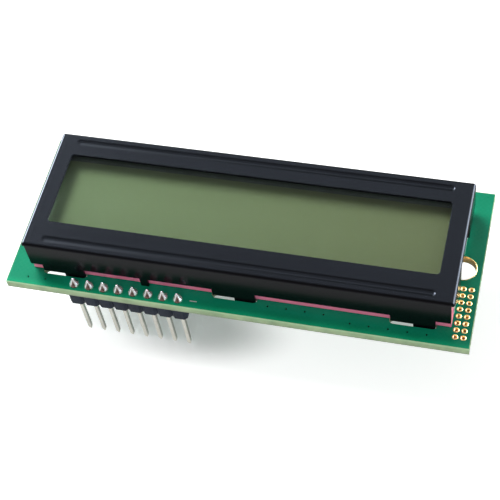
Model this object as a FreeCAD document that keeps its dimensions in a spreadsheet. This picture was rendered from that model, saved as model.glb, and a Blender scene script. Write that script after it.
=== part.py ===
import FreeCAD, Part
import math
import os
import Sketcher

# Blank character LCD on a green circuit board. +X runs along the board, +Y to the back, +Z out of
# the display. The origin lies under the middle of the board, level with the tips of the header pins.
doc = FreeCAD.newDocument("lcd_display_board")
sheet = doc.addObject("Spreadsheet::Sheet", "dims")

DIMENSIONS = {
    # Circuit board, in millimetres like everything below. Its margins lie beside the bezel.
    "board_left_margin": 3.5,
    "board_right_margin": 2.8,
    "board_back_margin": 3.75,
    "board_thickness": 1.6,
    # Mounting holes near the two ends, inside their plating.
    "mounting_hole_diameter": 4.4,
    "mounting_hole_inset": 3.15,
    "mounting_hole_offset": -0.35,
    # Two columns of plated holes at the right end.
    "cable_hole_diameter": 0.5,
    "cable_hole_pitch": 1.27,
    "cable_hole_rows": 8,
    "cable_hole_columns": 2,
    "cable_hole_edge_x": 1.23,
    "cable_hole_edge_y": 1.84,
    # Sheet metal bezel: a flat plate with four walls folded down.
    "bezel_length": 70.3,
    "bezel_width": 23.3,
    "bezel_height": 7.6,
    "sheet_thickness": 0.4,
    "fold_radius": 0.5,
    "corner_radius": 0.45,
    "corner_slit": 0.1,
    "wall_gap": 2.0,
    "side_wall_cut_height": 4.9,
    "side_wall_cut_depth": 3.4,
    "notch_width": 9.1,
    "notch_top": 0.45,
    # Window in the bezel, inside four rims.
    "window_left_rim": 2.98,
    "window_right_rim": 3.12,
    "window_front_rim": 5.165,
    "window_back_rim": 4.385,
    "window_radius": 0.6,
    "window_edge": 0.1,
    # Pressed beads along the front and back strips of the plate.
    "bead_end_rim": 3.05,
    "bead_width": 1.35,
    "bead_depth": 0.2,
    "bead_inset": 1.65,
    "bead_clearance": 0.35,
    # Shoulders that stop the bezel above the board, and the tabs that hold it.
    "shoulder_width": 7.1,
    "shoulder_gap": 0.35,
    "shoulder_count": 3,
    "shoulder_left_inset": 6.05,
    "shoulder_right_inset": 6.45,
    "tab_width": 3.5,
    "tab_twist_length": 0.9,
    "tab_end_length": 1.1,
    "tab_twist_angle": 28.0,
    "foot_width": 1.35,
    "foot_inset": 19.95,
    # Routed slots for the tabs.
    "slot_clearance": 0.25,
    "slot_width": 1.45,
    # Liquid crystal cell.
    "glass_thickness": 1.1,
    "glass_clearance": 0.3,
    "glass_wall_clearance": 0.15,
    "polarizer_thickness": 0.2,
    "polarizer_margin": 1.0,
    # Pink elastomeric connector strips.
    "strip_thickness": 2.3,
    "strip_wall_clearance": 0.2,
    "strip_end_clearance": 0.08,
    "strip_inner_clearance": 0.2,
    # White backlight box and the diffuser film on it.
    "backlight_clearance": 0.05,
    "backlight_hole_clearance": 0.45,
    "diffuser_thickness": 0.2,
    "diffuser_rim": 1.2,
    "diffuser_end_rim": 4.5,
    "backlight_lead_width": 0.6,
    "backlight_lead_thickness": 0.3,
    "backlight_lead_reach": 1.0,
    "backlight_lead_inset": 6.0,
    "backlight_lead_hole_clearance": 0.15,
    "lead_joint_diameter": 1.5,
    "lead_joint_tip_diameter": 0.8,
    "lead_joint_height": 0.75,
    # Pin header under the front left corner.
    "pin_count": 8,
    "pin_pitch": 2.54,
    "pin_side": 0.64,
    "pin_clearance": 0.01,
    "pin_tail": 9.7,
    "pin_top_reach": 1.0,
    "pin_tip_length": 0.7,
    "pin_tip_side": 0.3,
    "header_height": 2.54,
    "header_width": 2.5,
    "header_notch": 0.45,
    "header_end_inset": 11.68,
    "header_edge_y": 1.25,
    "header_wall_clearance": 0.35,
    "header_hole_diameter": 1.0,
    "solder_base_diameter": 1.5,
    "solder_height": 1.95,
    "solder_tip_diameter": 0.5,
    # Parts under the board.
    "large_blob_diameter": 13.0,
    "small_blob_diameter": 10.5,
    "blob_height": 1.4,
    "blob_flank": 2.4,
    "large_blob_inset": 36.3,
    "small_blob_inset": 19.8,
    "blob_y": 1.5,
    "chip_length": 2.0,
    "chip_width": 1.25,
    "chip_height": 0.5,
    "chip_pitch": 3.0,
    "resistor_count": 5,
    "resistor_inset": 29.3,
    "resistor_y": -8.6,
    "capacitor_count": 2,
    "capacitor_height": 0.9,
    "capacitor_inset": 20.3,
    "capacitor_y": 4.4,
    "capacitor_pitch": 4.2,
    "part_edge": 0.08,
}

for row, (alias, value) in enumerate(DIMENSIONS.items(), start=1):
    sheet.set(f"A{row}", alias)
    sheet.set(f"B{row}", str(value))
    sheet.setAlias(f"B{row}", alias)
doc.recompute()


def expand(text):
    """Write each size in an expression as a cell of the sheet."""
    words = sorted(DIMENSIONS, key=len, reverse=True)
    marks = {word: f"@{index}@" for index, word in enumerate(words)}
    for word in words:
        text = text.replace(word, marks[word])
    for word in words:
        text = text.replace(marks[word], f"dims.{word}")
    return text


def bind(item, settings):
    """Tie properties of a document object to expressions over the sheet."""
    for name, text in settings.items():
        item.setExpression(name, expand(text))


# Levels and places that several pieces share.
UNDER_BOARD = "(pin_tail + header_height)"
BOARD_TOP = "(pin_tail + header_height + board_thickness)"
FRONT_MARGIN = "(header_edge_y + header_width / 2 + header_wall_clearance)"
BOARD_LENGTH = "(bezel_length + board_left_margin + board_right_margin)"
BOARD_WIDTH = f"(bezel_width + {FRONT_MARGIN} + board_back_margin)"
BEZEL_X = "((board_left_margin - board_right_margin) / 2)"
BEZEL_Y = f"(({FRONT_MARGIN} - board_back_margin) / 2)"
WINDOW_LENGTH = "(bezel_length - window_left_rim - window_right_rim)"
WINDOW_WIDTH = "(bezel_width - window_front_rim - window_back_rim)"
WINDOW_Y = "((window_front_rim - window_back_rim) / 2)"
BEAD_LENGTH = "(bezel_length - 2 * bead_end_rim)"
SHOULDER_X = "(shoulder_left_inset - bezel_length / 2)"
SHOULDER_PITCH = "((bezel_length - shoulder_left_inset - shoulder_right_inset) / (shoulder_count - 1))"
FRONT_GLASS_TOP = "(bezel_height - sheet_thickness - polarizer_thickness)"
STRIP_HEIGHT = "(bezel_height - sheet_thickness - polarizer_thickness - glass_thickness)"
REAR_GLASS_BASE = f"({STRIP_HEIGHT} - glass_thickness)"
REAR_POLARIZER_BASE = f"({REAR_GLASS_BASE} - polarizer_thickness)"
INNER_LENGTH = "(bezel_length - 2 * sheet_thickness)"
INNER_WIDTH = "(bezel_width - 2 * sheet_thickness)"
STRIP_Y = "(bezel_width / 2 - sheet_thickness - strip_wall_clearance - strip_thickness / 2)"
CORE_WIDTH = (
    "(bezel_width - 2 * sheet_thickness - 2 * strip_wall_clearance"
    " - 2 * strip_thickness - 2 * strip_inner_clearance)"
)
HEADER_X = f"(header_end_inset - {BOARD_LENGTH} / 2)"
HEADER_Y = f"(header_edge_y - {BOARD_WIDTH} / 2)"
MOUNTING_HOLE_X = f"({BOARD_LENGTH} / 2 - mounting_hole_inset)"
CABLE_HOLE_X = f"({BOARD_LENGTH} / 2 - cable_hole_edge_x)"
CABLE_HOLE_Y = f"(cable_hole_edge_y - {BOARD_WIDTH} / 2)"
SLOT_LENGTH = "(shoulder_width + 2 * slot_clearance)"
SLOT_Y = "(bezel_width / 2 + slot_clearance - slot_width / 2)"
LEAD_X = f"({INNER_LENGTH} / 2 - backlight_lead_inset)"
WALL_HEIGHT = "(bezel_height - wall_gap)"
NEAR = 1e-4


def new_body(label, x="0", y="0", z="0"):
    """Start a sub-part whose own origin is placed by expressions."""
    body = doc.addObject("PartDesign::Body", label)
    body.Label = label
    bind(body, {"Placement.Base.x": x, "Placement.Base.y": y, "Placement.Base.z": z})
    return body


def origin_part(body, role):
    """Find an origin plane or axis of a body."""
    for feature in body.Origin.OriginFeatures:
        if feature.Role == role:
            return feature
    raise RuntimeError(f"{body.Label} has no {role}")


def new_sketch(body, name, plane="XY_Plane", x="0", y="0", level="0", turn=None):
    """Attach a sketch to an origin plane, shifted in the plane and lifted along its normal."""
    sketch = body.newObject("Sketcher::SketchObject", name)
    sketch.AttachmentSupport = [(origin_part(body, plane), "")]
    sketch.MapMode = "FlatFace"
    bind(sketch, {
        "AttachmentOffset.Base.x": x,
        "AttachmentOffset.Base.y": y,
        "AttachmentOffset.Base.z": level,
    })
    if turn is not None:
        sketch.AttachmentOffset = FreeCAD.Placement(
            FreeCAD.Vector(), FreeCAD.Rotation(FreeCAD.Vector(0, 0, 1), 1))
        bind(sketch, {"AttachmentOffset.Rotation.Angle": turn})
    return sketch


def constrain(sketch, text, *where):
    """Add a driving dimension to a sketch and tie it to an expression."""
    index = sketch.addConstraint(Sketcher.Constraint(*where, evaluate(text)))
    bind(sketch, {f"Constraints[{index}]": text})


def evaluate(text):
    """Work out an expression over the sheet."""
    value = sheet.evalExpression(expand(text).replace("dims.", ""))
    return float(getattr(value, "Value", value))


def add_rectangle(sketch, width, height):
    """Draw a rectangle about the middle of a sketch."""
    across, up = evaluate(width) / 2, evaluate(height) / 2
    corners = [(-across, -up), (across, -up), (across, up), (-across, up)]
    points = [FreeCAD.Vector(x, y, 0) for x, y in corners]
    for index in range(4):
        sketch.addGeometry(Part.LineSegment(points[index], points[(index + 1) % 4]), False)
    for index in range(4):
        sketch.addConstraint(Sketcher.Constraint("Coincident", index, 2, (index + 1) % 4, 1))
    for index in (0, 2):
        sketch.addConstraint(Sketcher.Constraint("Horizontal", index))
    for index in (1, 3):
        sketch.addConstraint(Sketcher.Constraint("Vertical", index))
    sketch.addConstraint(Sketcher.Constraint("Symmetric", 0, 1, 2, 1, -1, 1))
    constrain(sketch, width, "DistanceX", 0, 1, 0, 2)
    constrain(sketch, height, "DistanceY", 1, 1, 1, 2)


def add_circle(sketch, diameter):
    """Draw a circle about the middle of a sketch."""
    up = FreeCAD.Vector(0, 0, 1)
    index = sketch.addGeometry(Part.Circle(FreeCAD.Vector(), up, evaluate(diameter) / 2), False)
    sketch.addConstraint(Sketcher.Constraint("Coincident", index, 3, -1, 1))
    constrain(sketch, diameter, "Diameter", index)


def add_slot(sketch, length, width):
    """Draw a slot with round ends, overall length by width, about the middle of a sketch."""
    radius = evaluate(width) / 2
    reach = evaluate(length) / 2 - radius
    up = FreeCAD.Vector(0, 0, 1)
    quarter = math.pi / 2
    lines = []
    for side in (1, -1):
        ends = [FreeCAD.Vector(x, side * radius, 0) for x in (-reach, reach)]
        lines.append(sketch.addGeometry(Part.LineSegment(*ends), False))
    top, bottom = lines
    left_circle = Part.Circle(FreeCAD.Vector(-reach, 0, 0), up, radius)
    right_circle = Part.Circle(FreeCAD.Vector(reach, 0, 0), up, radius)
    left = sketch.addGeometry(Part.ArcOfCircle(left_circle, quarter, 3 * quarter), False)
    right = sketch.addGeometry(Part.ArcOfCircle(right_circle, -quarter, quarter), False)
    joints = [(left, 1, top, 1), (left, 2, bottom, 1), (right, 1, bottom, 2), (right, 2, top, 2)]
    for joint in joints:
        sketch.addConstraint(Sketcher.Constraint("Tangent", *joint))
    sketch.addConstraint(Sketcher.Constraint("Symmetric", left, 3, right, 3, -1, 1))
    sketch.addConstraint(Sketcher.Constraint("Horizontal", top))
    constrain(sketch, f"({width}) / 2", "Radius", right)
    constrain(sketch, f"({length}) - ({width})", "DistanceX", left, 3, right, 3)


def arc_between(start, end, radius, side):
    """Arc of a circle whose middle lies left (1) or right (-1) of the way from start to end."""
    chord = end - start
    half = chord.Length / 2
    across = FreeCAD.Vector(-chord.y, chord.x, 0).normalize() * side
    middle = (start + end) / 2 + across * math.sqrt(max(radius ** 2 - half ** 2, 0))
    first, last = (start, end) if side > 0 else (end, start)
    angles = [math.atan2(point.y - middle.y, point.x - middle.x) for point in (first, last)]
    return Part.ArcOfCircle(Part.Circle(middle, FreeCAD.Vector(0, 0, 1), radius), *angles)


def add_profile(sketch, points, arcs=None):
    """Draw a closed profile through points given as pairs of expressions.

    arcs gives the pieces that are arcs: the number of the point where each starts, with the
    expression of its radius and the side of its middle."""
    arcs = arcs or {}
    count = len(points)
    places = [FreeCAD.Vector(evaluate(x), evaluate(y), 0) for x, y in points]
    starts, ends = [], []
    for index in range(count):
        start, end = places[index], places[(index + 1) % count]
        if index in arcs:
            radius, side = arcs[index]
            curve = arc_between(start, end, evaluate(radius), side)
            starts.append(1 if side > 0 else 2)
        else:
            curve = Part.LineSegment(start, end)
            starts.append(1)
        ends.append(3 - starts[-1])
        sketch.addGeometry(curve, False)
    for index in range(count):
        after = (index + 1) % count
        joint = Sketcher.Constraint("Coincident", index, ends[index], after, starts[after])
        sketch.addConstraint(joint)
    for index, (radius, side) in arcs.items():
        constrain(sketch, radius, "Radius", index)
    for index, (x, y) in enumerate(points):
        for kind, text, axis in (("DistanceX", x, -2), ("DistanceY", y, -1)):
            if text == "0":
                on_axis = Sketcher.Constraint("PointOnObject", index, starts[index], axis)
                sketch.addConstraint(on_axis)
            else:
                constrain(sketch, text, kind, -1, 1, index, starts[index])


def pad(body, name, sketch, length, reverse=False, symmetric=False):
    """Add material along a sketch's normal."""
    return extrude("PartDesign::Pad", body, name, sketch, length, reverse, symmetric)


def pocket(body, name, sketch, length, reverse=False, symmetric=False):
    """Cut material against a sketch's normal, or along it when reversed."""
    return extrude("PartDesign::Pocket", body, name, sketch, length, reverse, symmetric)


def extrude(kind, body, name, sketch, length, reverse, symmetric):
    """Draw a sketch straight out to a length."""
    feature = body.newObject(kind, name)
    feature.Profile = sketch
    feature.Reversed = reverse
    feature.SideType = "Symmetric" if symmetric else "One side"
    bind(feature, {"Length": length})
    return feature


def revolve(body, name, sketch, groove=False):
    """Turn a sketch on the XZ plane about the body's Z axis."""
    kind = "PartDesign::Groove" if groove else "PartDesign::Revolution"
    feature = body.newObject(kind, name)
    feature.Profile = sketch
    feature.ReferenceAxis = (sketch, ["V_Axis"])
    feature.Angle = 360
    return feature


def loft(body, name, first, last):
    """Taper from one sketch to another."""
    feature = body.newObject("PartDesign::AdditiveLoft", name)
    feature.Profile = first
    feature.Sections = [last]
    feature.Ruled = True
    return feature


def row_pattern(body, name, originals, axis, pitch, count):
    """Repeat features along an axis of the body, and leave the body's tip on the row."""
    doc.recompute()
    feature = body.newObject("PartDesign::LinearPattern", name)
    feature.Originals = originals
    feature.Direction = (origin_part(body, axis), [""])
    feature.Mode = "Spacing"
    bind(feature, {"Offset": pitch, "Occurrences": count})
    body.Tip = feature
    return feature


def mirror(body, name, originals, plane):
    """Repeat features across an origin plane of the body."""
    doc.recompute()
    feature = body.newObject("PartDesign::Mirrored", name)
    feature.Originals = originals
    feature.MirrorPlane = (origin_part(body, plane), [""])
    body.Tip = feature
    return feature


def grid_pattern(body, name, originals, steps, reverse_first=False):
    """Repeat features through several rows and mirrors in turn."""
    doc.recompute()
    feature = body.newObject("PartDesign::MultiTransform", name)
    feature.Originals = originals
    moves = []
    for index, step in enumerate(steps):
        if step[0] == "mirror":
            move = body.newObject("PartDesign::Mirrored", f"{name}_mirror_{index}")
            move.MirrorPlane = (origin_part(body, step[1]), [""])
        else:
            axis, pitch, count = step
            move = body.newObject("PartDesign::LinearPattern", f"{name}_row_{index}")
            move.Direction = (origin_part(body, axis), [""])
            move.Mode = "Spacing"
            move.Reversed = reverse_first and index == 0
            bind(move, {"Offset": pitch, "Occurrences": count})
        moves.append(move)
    feature.Transformations = moves
    body.Tip = feature
    return feature


def edges_where(feature, test):
    """Names of a feature's edges that pass a test."""
    doc.recompute()
    edges = feature.Shape.Edges
    return [f"Edge{index}" for index, edge in enumerate(edges, start=1) if test(edge)]


def fillet(body, name, base, edges, radius):
    """Round edges of a feature."""
    feature = body.newObject("PartDesign::Fillet", name)
    feature.Base = (base, edges)
    bind(feature, {"Radius": radius})
    return feature


def chamfer(body, name, base, edges, size):
    """Bevel edges of a feature."""
    feature = body.newObject("PartDesign::Chamfer", name)
    feature.Base = (base, edges)
    bind(feature, {"Size": size})
    return feature


def is_vertical(edge):
    """True for a straight edge along Z."""
    box = edge.BoundBox
    return box.XLength < NEAR and box.YLength < NEAR


# Circuit board: one routed sheet of laminate with every hole and slot cut through it.
def make_circuit_board():
    body = new_body("circuit_board", z=UNDER_BOARD)
    outline = new_sketch(body, "board_outline")
    add_rectangle(outline, BOARD_LENGTH, BOARD_WIDTH)
    pad(body, "board", outline, "board_thickness")

    def drill(name, diameter, x, y):
        sketch = new_sketch(body, f"{name}_circle", x=x, y=y)
        add_circle(sketch, diameter)
        return pocket(body, name, sketch, "board_thickness", reverse=True)

    mounting = drill("mounting_hole", "mounting_hole_diameter", MOUNTING_HOLE_X, "mounting_hole_offset")
    mirror(body, "mounting_holes", [mounting], "YZ_Plane")
    cable = drill("cable_hole", "cable_hole_diameter", CABLE_HOLE_X, CABLE_HOLE_Y)
    grid_pattern(body, "cable_holes", [cable], [
        ("X_Axis", "cable_hole_pitch", "cable_hole_columns"),
        ("Y_Axis", "cable_hole_pitch", "cable_hole_rows"),
    ], reverse_first=True)
    header = drill("header_hole", "header_hole_diameter", HEADER_X, HEADER_Y)
    row_pattern(body, "header_holes", [header], "X_Axis", "pin_pitch", "pin_count")
    lead = drill("lead_hole", "(backlight_lead_width + 2 * backlight_lead_hole_clearance)",
                 f"{BEZEL_X} + {LEAD_X}", BEZEL_Y)
    row_pattern(body, "lead_holes", [lead], "X_Axis", f"2 * {LEAD_X}", "2").Reversed = True

    for side, sign in (("front", "-"), ("back", "")):
        slot = new_sketch(body, f"{side}_slot_outline",
                          x=f"{BEZEL_X} + {SHOULDER_X}",
                          y=f"{BEZEL_Y} + {sign}1 * {SLOT_Y}")
        add_slot(slot, SLOT_LENGTH, "slot_width")
        cut = pocket(body, f"{side}_slot", slot, "board_thickness", reverse=True)
        row_pattern(body, f"{side}_slots", [cut], "X_Axis", SHOULDER_PITCH, "shoulder_count")
    return body


# Sheet metal bezel: plate, folded walls, window, beads, shoulders, twisted tabs and one small foot.
def make_bezel():
    body = new_body("bezel", x=BEZEL_X, y=BEZEL_Y, z=BOARD_TOP)
    add_folded_shell(body)
    add_window(body)
    add_beads(body)
    add_wall_cuts(body)
    add_tabs(body)
    return body


def add_folded_shell(body):
    """Plate with four walls folded down, hollow below."""
    outer = new_sketch(body, "folded_outline", level="wall_gap")
    add_rectangle(outer, "bezel_length", "bezel_width")
    block = pad(body, "folded_block", outer, WALL_HEIGHT)
    corners = edges_where(block, is_vertical)
    rounded = fillet(body, "rounded_corners", block, corners, "corner_radius")
    rim = edges_where(rounded, lambda edge: edge.BoundBox.ZMin > evaluate("bezel_height") - NEAR)
    fillet(body, "folds", rounded, rim, "fold_radius")
    inside = new_sketch(body, "inside_outline", level="wall_gap")
    add_rectangle(inside, INNER_LENGTH, INNER_WIDTH)
    pocket(body, "inside", inside, f"({WALL_HEIGHT} - sheet_thickness)", reverse=True)


def add_window(body):
    """Window with rounded corners and a softened upper edge."""
    outline = new_sketch(body, "window_outline", y=WINDOW_Y,
                         x="((window_left_rim - window_right_rim) / 2)",
                         level="(bezel_height - 2 * sheet_thickness)")
    add_rectangle(outline, WINDOW_LENGTH, WINDOW_WIDTH)
    opening = pocket(body, "window", outline, "2 * sheet_thickness", reverse=True)
    reach = evaluate(f"{WINDOW_WIDTH} / 2 + {WINDOW_Y}")

    def at_window_corner(edge):
        return is_vertical(edge) and abs(edge.BoundBox.YMax) < reach + NEAR

    corners = edges_where(opening, at_window_corner)
    rounded = fillet(body, "window_corners", opening, corners, "window_radius")
    top = evaluate("bezel_height")

    def on_window_rim(edge):
        box = edge.BoundBox
        return box.ZMin > top - NEAR and box.YMax < reach + NEAR and box.YMin > -reach - NEAR

    rim = edges_where(rounded, on_window_rim)
    chamfer(body, "window_edge", rounded, rim, "window_edge")


def add_beads(body):
    """Pressed beads: a round groove above and the ridge that it pushes out below."""
    bead_y = "(bezel_width / 2 - bead_inset)"
    radius = "((bead_width ^ 2 / 4 + bead_depth ^ 2) / (2 * bead_depth))"
    ridge_radius = f"({radius} + sheet_thickness)"
    ridge_half = f"(sqrt(2 * {ridge_radius} * bead_depth - bead_depth ^ 2))"
    faces = [
        ("ridge", "(bezel_height - sheet_thickness)", ridge_half, ridge_radius),
        ("groove", "bezel_height", "(bead_width / 2)", radius),
    ]
    for name, level, half, arc_radius in faces:
        low = f"({level} - bead_depth)"
        across = new_sketch(body, f"{name}_section", plane="YZ_Plane", x=f"-1 * {bead_y}")
        add_profile(across, [
            (f"-1 * {half}", level),
            (half, level),
        ], {0: (arc_radius, 1)})
        end = new_sketch(body, f"{name}_end_section", plane="XZ_Plane", level=bead_y,
                         x=f"({BEAD_LENGTH} / 2 - bead_width / 2)")
        add_profile(end, [
            ("0", low),
            (half, level),
            ("0", level),
        ], {0: (arc_radius, 1)})
        make = pocket if name == "groove" else pad
        run = make(body, f"{name}_run", across, f"{BEAD_LENGTH} - bead_width", symmetric=True)
        mirror(body, f"{name}_runs", [run], "XZ_Plane")
        turned = revolve(body, f"{name}_end", end, groove=name == "groove")
        grid_pattern(body, f"{name}_ends", [turned], [("mirror", "YZ_Plane"), ("mirror", "XZ_Plane")])


def add_wall_cuts(body):
    """Open corners, the slanted front ends of the side walls, and the notches at the holes."""
    slit = new_sketch(body, "slit_outline", level="wall_gap",
                      x="(bezel_length / 2 - sheet_thickness - corner_slit / 2)",
                      y="(-1 * bezel_width / 2)")
    add_rectangle(slit, "corner_slit", "2 * sheet_thickness")
    cut = pocket(body, "corner_slit", slit, "(bezel_height - wall_gap - fold_radius)", reverse=True)
    grid_pattern(body, "corner_slits", [cut], [("mirror", "YZ_Plane"), ("mirror", "XZ_Plane")])
    slant = new_sketch(body, "slant_outline", plane="YZ_Plane",
                       level="(bezel_length / 2 - sheet_thickness)")
    front = "(-1 * bezel_width / 2)"
    start = f"({front} + fold_radius + corner_slit)"
    cut_top = "(wall_gap + side_wall_cut_height)"
    add_profile(slant, [
        (front, "wall_gap"),
        (f"({start} + side_wall_cut_depth)", "wall_gap"),
        (start, cut_top),
        (front, cut_top),
    ])
    slanted = pocket(body, "slanted_end", slant, "2 * sheet_thickness", reverse=True)
    mirror(body, "slanted_ends", [slanted], "YZ_Plane")
    notch = new_sketch(body, "notch_outline", plane="YZ_Plane",
                       x=f"(mounting_hole_offset - {BEZEL_Y})",
                       y="((wall_gap + bezel_height - notch_top) / 2)")
    add_rectangle(notch, "notch_width", "(bezel_height - notch_top - wall_gap)")
    pocket(body, "notches", notch, "2 * bezel_length", symmetric=True)


def add_tabs(body):
    """Shoulders above the board, tabs through it with twisted ends, and the small foot."""
    def wall_sketch(name, x, top, bottom, width):
        sketch = new_sketch(body, name, plane="XZ_Plane", x=x, y=f"(({top}) + ({bottom})) / 2",
                            level="bezel_width / 2")
        add_rectangle(sketch, width, f"({top}) - ({bottom})")
        return sketch

    tab_x = f"({SHOULDER_X} + shoulder_width / 2 - tab_width / 2)"
    under = "(-1 * board_thickness)"
    wall_y = "(sheet_thickness / 2 - bezel_width / 2)"
    shoulder = pad(body, "shoulder", wall_sketch(
        "shoulder_outline", SHOULDER_X, "wall_gap", "shoulder_gap", "shoulder_width"),
        "sheet_thickness", reverse=True)
    tab = pad(body, "tab", wall_sketch("tab_outline", tab_x, "shoulder_gap", under, "tab_width"),
              "sheet_thickness", reverse=True)
    root = new_sketch(body, "twist_root", x=tab_x, y=wall_y, level=under)
    add_rectangle(root, "tab_width", "sheet_thickness")
    twisted = new_sketch(body, "twist_end", x=tab_x, y=wall_y, level=f"({under} - tab_twist_length)",
                         turn="tab_twist_angle")
    add_rectangle(twisted, "tab_width", "sheet_thickness")
    twist = loft(body, "tab_twist", root, twisted)
    end = new_sketch(body, "tab_end_outline", x=tab_x, y=wall_y,
                     level=f"({under} - tab_twist_length)", turn="tab_twist_angle")
    add_rectangle(end, "tab_width", "sheet_thickness")
    tab_end = pad(body, "tab_end", end, "tab_end_length", reverse=True)
    grid_pattern(body, "tabs", [shoulder, tab, twist, tab_end], [
        ("X_Axis", SHOULDER_PITCH, "shoulder_count"),
        ("mirror", "XZ_Plane"),
    ])
    foot_outline = wall_sketch("foot_outline", "(foot_inset - bezel_length / 2)", "wall_gap", "0",
                               "foot_width")
    pad(body, "foot", foot_outline, "sheet_thickness", reverse=True)


# Flat sheets of the display cell, all centred on the bezel and stacked under its plate.
def make_sheet(label, length, width, thickness, base):
    body = new_body(label, x=BEZEL_X, y=BEZEL_Y, z=f"{BOARD_TOP} + {base}")
    outline = new_sketch(body, f"{label}_outline")
    add_rectangle(outline, length, width)
    pad(body, f"{label}_sheet", outline, thickness)
    return body


def make_display_cell():
    glass_length = f"({INNER_LENGTH} - 2 * glass_clearance)"
    polarizer_length = f"({glass_length} - 2 * polarizer_margin)"
    bead_room = "(2 * bead_inset + bead_width + 2 * bead_clearance)"
    return [
        make_sheet("front_polarizer", polarizer_length, f"(bezel_width - {bead_room})",
                   "polarizer_thickness", FRONT_GLASS_TOP),
        make_sheet("front_glass", glass_length, f"({INNER_WIDTH} - 2 * glass_wall_clearance)",
                   "glass_thickness", STRIP_HEIGHT),
        make_sheet("rear_glass", glass_length, CORE_WIDTH, "glass_thickness", REAR_GLASS_BASE),
        make_sheet("rear_polarizer", polarizer_length, f"({CORE_WIDTH} - polarizer_margin)",
                   "polarizer_thickness", REAR_POLARIZER_BASE),
    ]


# Soft connector strips that press the glass contacts onto the board.
def make_connector_strips():
    made = []
    for side, sign in (("front", "-1"), ("back", "1")):
        body = new_body(f"connector_strip_{side}", x=BEZEL_X, y=f"{BEZEL_Y} + {sign} * {STRIP_Y}",
                        z=BOARD_TOP)
        outline = new_sketch(body, f"strip_{side}_outline")
        add_rectangle(outline, f"({INNER_LENGTH} - 2 * strip_end_clearance)", "strip_thickness")
        pad(body, f"strip_{side}", outline, STRIP_HEIGHT)
        made.append(body)
    return made


# White backlight box between the strips, hollowed round the mounting holes, and its diffuser film.
def make_backlight():
    box_length = f"({INNER_LENGTH} - 2 * backlight_clearance)"
    body = new_body("backlight_box", x=BEZEL_X, y=BEZEL_Y, z=BOARD_TOP)
    outline = new_sketch(body, "backlight_outline")
    add_rectangle(outline, box_length, CORE_WIDTH)
    pad(body, "backlight_block", outline, REAR_POLARIZER_BASE)
    film_length = f"({box_length} - 2 * diffuser_end_rim)"
    film_width = f"({CORE_WIDTH} - 2 * diffuser_rim)"
    seat = new_sketch(body, "diffuser_seat_outline",
                      level=f"({REAR_POLARIZER_BASE} - diffuser_thickness)")
    add_rectangle(seat, film_length, film_width)
    pocket(body, "diffuser_seat", seat, "2 * diffuser_thickness", reverse=True)
    room = "(mounting_hole_diameter + 2 * backlight_hole_clearance)"
    for side, sign in (("right", "1"), ("left", "-1")):
        circle = new_sketch(body, f"{side}_hole_room_outline",
                            x=f"({sign} * {MOUNTING_HOLE_X} - {BEZEL_X})",
                            y=f"(mounting_hole_offset - {BEZEL_Y})")
        add_circle(circle, room)
        pocket(body, f"{side}_hole_room", circle, f"({REAR_POLARIZER_BASE})", reverse=True)
    film = make_sheet("diffuser_film", film_length, film_width, "diffuser_thickness",
                      f"({REAR_POLARIZER_BASE} - diffuser_thickness)")
    return [body, film]


# Two flat leads that feed the backlight through the board, each with its solder joint below.
def make_backlight_leads():
    place = {"x": f"{BEZEL_X} + {LEAD_X}", "y": BEZEL_Y, "z": BOARD_TOP}
    steps = [("X_Axis", f"2 * {LEAD_X}", "2")]
    leads = new_body("backlight_leads", **place)
    outline = new_sketch(leads, "lead_outline")
    add_rectangle(outline, "backlight_lead_width", "backlight_lead_thickness")
    lead = pad(leads, "lead", outline, "(board_thickness + backlight_lead_reach)", reverse=True)
    grid_pattern(leads, "both_leads", [lead], steps, reverse_first=True)
    joints = new_body("backlight_solder_joints", **place)
    section = new_sketch(joints, "lead_joint_section", plane="XZ_Plane")
    under = "(-1 * board_thickness)"
    low = f"({under} - lead_joint_height)"
    add_profile(section, [
        ("0", low),
        ("(lead_joint_tip_diameter / 2)", low),
        ("(lead_joint_diameter / 2)", under),
        ("0", under),
    ])
    joint = revolve(joints, "lead_joint", section)
    room_outline = new_sketch(joints, "lead_room_outline", level=low)
    add_rectangle(room_outline, "backlight_lead_width", "backlight_lead_thickness")
    room = pocket(joints, "lead_room", room_outline, "lead_joint_height", reverse=True)
    grid_pattern(joints, "both_joints", [joint, room], steps, reverse_first=True)
    return [leads, joints]


# Header: a black moulded strip notched between the pins, with eight tapered square pins.
def make_header():
    length = "(pin_count * pin_pitch)"
    middle = f"({HEADER_X} + (pin_count - 1) * pin_pitch / 2)"
    body = new_body("header_housing", x=middle, y=HEADER_Y, z="pin_tail")
    outline = new_sketch(body, "housing_outline")
    add_rectangle(outline, length, "header_width")
    pad(body, "housing", outline, "header_height")
    first_boundary = f"(-1 * {length} / 2)"
    notch = new_sketch(body, "pin_notch_outline", x=first_boundary, y="(-1 * header_width / 2)")
    add_profile(notch, [
        ("(-1 * header_notch)", "0"),
        ("0", "(-1 * header_notch)"),
        ("header_notch", "0"),
        ("0", "header_notch"),
    ])
    cut = pocket(body, "pin_notch", notch, "header_height", reverse=True)
    grid_pattern(body, "pin_notches", [cut], [
        ("X_Axis", "pin_pitch", "(pin_count + 1)"),
        ("mirror", "XZ_Plane"),
    ])
    hole = new_sketch(body, "pin_hole_outline", x=f"({first_boundary} + pin_pitch / 2)")
    add_rectangle(hole, "(pin_side + 2 * pin_clearance)", "(pin_side + 2 * pin_clearance)")
    through = pocket(body, "pin_hole", hole, "header_height", reverse=True)
    row_pattern(body, "pin_holes", [through], "X_Axis", "pin_pitch", "pin_count")
    made = [body]
    for number in range(DIMENSIONS["pin_count"]):
        made.append(make_pin(number))
    return made


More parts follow.
